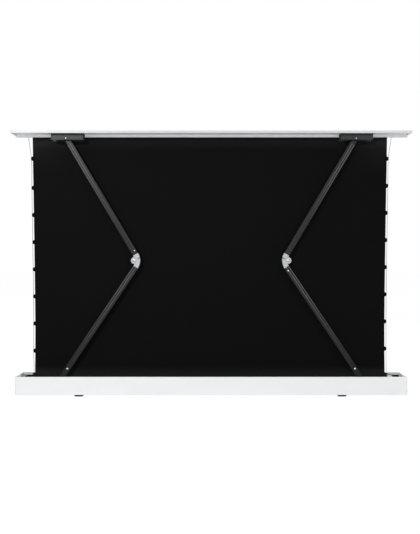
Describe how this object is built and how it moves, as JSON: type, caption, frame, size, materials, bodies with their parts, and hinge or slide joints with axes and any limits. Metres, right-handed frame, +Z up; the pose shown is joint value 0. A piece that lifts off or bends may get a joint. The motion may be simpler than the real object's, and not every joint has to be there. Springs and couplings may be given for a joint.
{
  "type": "floor-rising projection screen",
  "caption": "Free-standing projection screen whose fabric rises from a long floor case, lifted by two folding arms under a lid; rear side with tensioned edges and a motorised roller.",
  "frame": {"origin": "on the floor, under the middle of the case", "axes": "+X along the case, to the right when the arms are seen; +Y towards the viewing side; +Z up"},
  "size_m": [2.546, 0.206, 1.6833],
  "materials": {
    "white_enamel": "satin white powder coat on aluminium",
    "bare_aluminium": "mill-finished",
    "black_anodised": "black anodised, satin",
    "grey_enamel": "dark grey, satin",
    "cast_grey": "light grey paint on a die casting",
    "zinc": "zinc plated",
    "dark_rubber": "matte",
    "screen_cloth": "matte black coated back, matte white front",
    "black_tape": "matte black coated tape",
    "grey_cord": "grey braid, matte",
    "black_plastic": "matte",
    "tinted_lens": "dark tinted, smooth",
    "motor_casing": "smooth grey",
    "dark_steel": "drawn steel"
  },
  "bodies": {
    "case": {"floor_plate": "bare_aluminium", "rear_panel": "white_enamel", "front_panel": "white_enamel", "end_cap_left": "white_enamel", "end_cap_right": "white_enamel", "seal_strip": "dark_rubber", "foot_left": "grey_enamel", "foot_right": "grey_enamel", "foot_pad_left": "dark_rubber", "foot_pad_right": "dark_rubber", "shoulder_bracket_left": "bare_aluminium", "shoulder_bracket_right": "bare_aluminium", "shoulder_pin_left": "zinc", "shoulder_pin_right": "zinc", "roller_bracket_left": "bare_aluminium", "roller_bracket_right": "bare_aluminium", "tubular_motor": "motor_casing", "idle_pin": "zinc", "control_box": "black_plastic", "power_inlet": "black_plastic", "infrared_window": "tinted_lens", "motor_lead": "dark_rubber", "receiver_lead": "dark_rubber", "screen_fabric": "screen_cloth", "edge_tape_left": "black_tape", "edge_tape_right": "black_tape", "tension_cord_left": "grey_cord", "tension_cord_right": "grey_cord"},
    "roller": {"roller_tube": "bare_aluminium", "wound_fabric": "screen_cloth", "drive_wheel": "black_plastic", "idle_plug": "black_plastic"},
    "rocker": {"power_rocker": "black_plastic"},
    "lid": {"top_cover": "white_enamel", "cover_cap_left": "white_enamel", "cover_cap_right": "white_enamel", "fabric_rail": "white_enamel", "hem_rod": "dark_steel", "lid_bracket_left": "grey_enamel", "lid_bracket_right": "grey_enamel", "top_pin_left": "zinc", "top_pin_right": "zinc"},
    "lower_arm_left": {"lower_arm_left": "black_anodised", "lower_knuckle_left": "cast_grey", "shoulder_fitting_left": "black_anodised", "elbow_pin_left": "zinc", "lift_spring_left": "dark_steel", "spring_screw_left": "zinc"},
    "upper_arm_left": {"upper_arm_left": "black_anodised", "upper_knuckle_left": "cast_grey", "top_fitting_left": "black_anodised"},
    "lower_arm_right": {"lower_arm_right": "black_anodised", "lower_knuckle_right": "cast_grey", "shoulder_fitting_right": "black_anodised", "elbow_pin_right": "zinc", "lift_spring_right": "dark_steel", "spring_screw_right": "zinc"},
    "upper_arm_right": {"upper_arm_right": "black_anodised", "upper_knuckle_right": "cast_grey", "top_fitting_right": "black_anodised"}
  },
  "joints": [
    {"name": "arm_fold", "type": "hinge", "parent": "case", "child": "lower_arm_left", "pos_m": [-1.0085, -0.042, 0.037], "axis": [0, 1, 0], "range_deg": [0, 56.1], "stiffness_Nm_per_rad": 130, "springref_deg": -85.94, "deforming": ["screen_fabric", "edge_tape_left", "edge_tape_right", "tension_cord_left", "tension_cord_right"]},
    {"name": "elbow_left", "type": "hinge", "parent": "lower_arm_left", "child": "upper_arm_left", "pos_m": [-0.49043, -0.042, 0.86355], "axis": [0, 1, 0], "range_deg": [-115.41, 0]},
    {"name": "lid_hinge", "type": "hinge", "parent": "upper_arm_left", "child": "lid", "pos_m": [-0.9215, -0.042, 1.64034], "axis": [0, 1, 0], "range_deg": [0, 59.3]},
    {"name": "shoulder_right", "type": "hinge", "parent": "case", "child": "lower_arm_right", "pos_m": [1.0085, -0.042, 0.037], "axis": [0, 1, 0], "range_deg": [-56.11, 0]},
    {"name": "elbow_right", "type": "hinge", "parent": "lower_arm_right", "child": "upper_arm_right", "pos_m": [0.49043, -0.042, 0.86355], "axis": [0, 1, 0], "range_deg": [0, 115.41]},
    {"name": "roller_spin", "type": "hinge", "parent": "case", "child": "roller", "pos_m": [0, 0.026, 0.062], "axis": [1, 0, 0], "range_deg": [0, 2665.2]},
    {"name": "rocker_press", "type": "hinge", "parent": "case", "child": "rocker", "pos_m": [1.2405, 0.02, 0.063], "axis": [0, 1, 0], "range_deg": [-16, 0]}
  ],
  "couplings": [
    {"joint": "elbow_left", "follows": "arm_fold", "ratio": -2.057},
    {"joint": "lid_hinge", "follows": "arm_fold", "ratio": 1.057},
    {"joint": "shoulder_right", "follows": "arm_fold", "ratio": -1},
    {"joint": "elbow_right", "follows": "arm_fold", "ratio": 2.057},
    {"joint": "roller_spin", "follows": "arm_fold", "ratio": 47.5}
  ]
}
